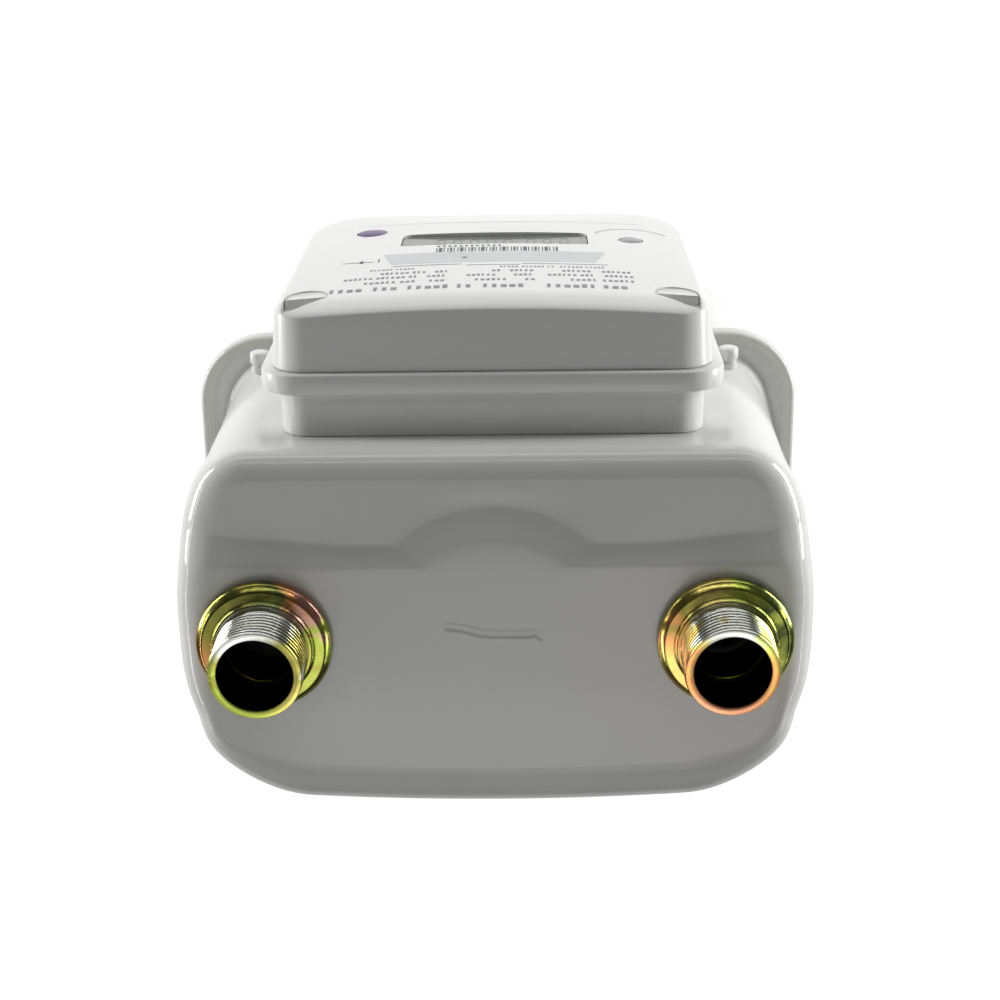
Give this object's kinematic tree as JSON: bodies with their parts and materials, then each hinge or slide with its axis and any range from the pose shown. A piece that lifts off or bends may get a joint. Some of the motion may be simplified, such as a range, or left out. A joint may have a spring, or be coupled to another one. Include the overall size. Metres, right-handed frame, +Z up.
{
  "type": "gas meter",
  "caption": "Domestic diaphragm gas meter with a pressed steel case, threaded top connections and a plastic electronic index on the front.",
  "frame": {"origin": "on the floor under the middle of the whole meter", "axes": "+Z up towards the connections, -Y towards the index front, +X to the right of someone reading the index"},
  "size_m": [0.1922, 0.1641, 0.222],
  "materials": {
    "case_paint": "semi-gloss light grey enamel",
    "yellow_zinc": "iridescent yellow zinc passivated steel",
    "bright_steel": "bright",
    "white_plastic": "satin moulded",
    "black_rubber": "matt",
    "unit_plastic": "satin moulded",
    "bearing_plastic": "satin acetal",
    "diaphragm_fabric": "rubber-coated fabric",
    "board_green": "solder mask",
    "dark_plastic": "satin moulded",
    "lcd_glass": "reflective display",
    "window_plastic": "clear moulded",
    "button_plastic": "satin moulded",
    "lens_plastic": "smoked infrared filter",
    "battery_sleeve": "shrink sleeve",
    "magnet": "sintered"
  },
  "bodies": {
    "meter": {"battery_cell": "battery_sleeve", "battery_holder": "dark_plastic", "button_spring": "bright_steel", "chamber_body": "unit_plastic", "chamber_support": "bright_steel", "circuit_board": "board_green", "cover_screw_left": "bright_steel", "cover_screw_right": "bright_steel", "crank_bracket": "unit_plastic", "front_chamber_cover": "unit_plastic", "front_clamp_ring": "unit_plastic", "front_diaphragm": "diaphragm_fabric", "hall_sensor": "dark_plastic", "index_base": "white_plastic", "index_bracket": "bright_steel", "index_cover": "white_plastic", "index_gasket": "black_rubber", "infrared_lens": "lens_plastic", "inlet_boss": "yellow_zinc", "inlet_boss_gasket": "black_rubber", "lcd_module": "lcd_glass", "lcd_window": "window_plastic", "lower_shell": "case_paint", "outlet_boss": "yellow_zinc", "outlet_boss_gasket": "black_rubber", "outlet_pipe": "unit_plastic", "outlet_pipe_seal": "black_rubber", "radio_module": "bright_steel", "rear_chamber_cover": "unit_plastic", "rear_clamp_ring": "unit_plastic", "rear_diaphragm": "diaphragm_fabric", "screw_plug_left": "white_plastic", "screw_plug_right": "white_plastic", "seal_post_left": "white_plastic", "seal_post_right": "white_plastic", "seam_band": "case_paint", "seam_gasket": "black_rubber", "upper_shell": "case_paint", "valve_housing": "bearing_plastic", "valve_motor": "bright_steel", "valve_table": "unit_plastic"},
    "crank": {"crankshaft": "bright_steel", "crank_gear": "bearing_plastic"},
    "magnet_rotor": {"magnet_wheel": "bearing_plastic", "drive_magnet": "magnet"},
    "front_link": {"link_front": "bright_steel"},
    "rear_link": {"link_rear": "bright_steel"},
    "front_plate": {"front_diaphragm_plate": "bright_steel"},
    "rear_plate": {"rear_diaphragm_plate": "bright_steel"},
    "front_flag": {"flag_rod_front": "bright_steel", "flag_arm_front": "bearing_plastic", "rocker_arm_front": "bearing_plastic"},
    "rear_flag": {"flag_rod_rear": "bright_steel", "flag_arm_rear": "bearing_plastic", "rocker_arm_rear": "bearing_plastic"},
    "front_slide_valve": {"valve_cover_front": "dark_plastic"},
    "rear_slide_valve": {"valve_cover_rear": "dark_plastic"},
    "shut_off_plunger": {"valve_plunger": "bearing_plastic", "valve_seal": "black_rubber"},
    "button": {"push_button": "button_plastic"}
  },
  "joints": [
    {"name": "crank_turn", "type": "hinge", "parent": "meter", "child": "crank", "pos_m": [0, 0.016, 0.135], "axis": [0, 0, 1], "continuous": true},
    {"name": "magnet_turn", "type": "hinge", "parent": "meter", "child": "magnet_rotor", "pos_m": [0, -0.022, 0.134], "axis": [0, 0, 1], "continuous": true},
    {"name": "front_link_turn", "type": "hinge", "parent": "crank", "child": "front_link", "pos_m": [0.0065, 0.016, 0.12], "axis": [0, 0, 1], "continuous": true},
    {"name": "rear_link_turn", "type": "hinge", "parent": "crank", "child": "rear_link", "pos_m": [0.0065, 0.016, 0.1226], "axis": [0, 0, 1], "continuous": true},
    {"name": "front_diaphragm_stroke", "type": "slide", "parent": "meter", "child": "front_plate", "axis": [0, 1, 0], "range_m": [-0.008, 0.008], "deforming": ["front_diaphragm"]},
    {"name": "rear_diaphragm_stroke", "type": "slide", "parent": "meter", "child": "rear_plate", "axis": [0, 1, 0], "range_m": [-0.008, 0.008], "deforming": ["rear_diaphragm"]},
    {"name": "front_flag_swing", "type": "hinge", "parent": "meter", "child": "front_flag", "pos_m": [-0.052, -0.022, 0.056], "axis": [0, 0, 1], "range_deg": [-16.5, 16.5]},
    {"name": "rear_flag_swing", "type": "hinge", "parent": "meter", "child": "rear_flag", "pos_m": [-0.052, 0.054, 0.056], "axis": [0, 0, 1], "range_deg": [-16.5, 16.5]},
    {"name": "front_slide_valve_stroke", "type": "slide", "parent": "meter", "child": "front_slide_valve", "axis": [1, 0, 0], "range_m": [-0.005, 0.005]},
    {"name": "rear_slide_valve_stroke", "type": "slide", "parent": "meter", "child": "rear_slide_valve", "axis": [1, 0, 0], "range_m": [-0.005, 0.005]},
    {"name": "shut_off_lift", "type": "slide", "parent": "meter", "child": "shut_off_plunger", "axis": [0, 0, 1], "range_m": [0, 0.0065]},
    {"name": "button_press", "type": "slide", "parent": "meter", "child": "button", "axis": [0, 1, 0], "range_m": [0, 0.0015], "stiffness_N_per_m": 300, "springref_m": -0.0005, "deforming": ["button_spring"]}
  ],
  "couplings": [
    {"joint": "magnet_turn", "follows": "crank_turn", "ratio": -2},
    {"joint": "front_link_turn", "follows": "crank_turn", "ratio": -1},
    {"joint": "rear_link_turn", "follows": "crank_turn", "ratio": -1},
    {"joint": "front_flag_swing", "follows": "front_diaphragm_stroke", "rad_per_m": 35.7},
    {"joint": "rear_flag_swing", "follows": "rear_diaphragm_stroke", "rad_per_m": 35.7},
    {"joint": "rear_slide_valve_stroke", "follows": "front_diaphragm_stroke", "ratio": 0.625},
    {"joint": "front_slide_valve_stroke", "follows": "rear_diaphragm_stroke", "ratio": -0.625}
  ]
}
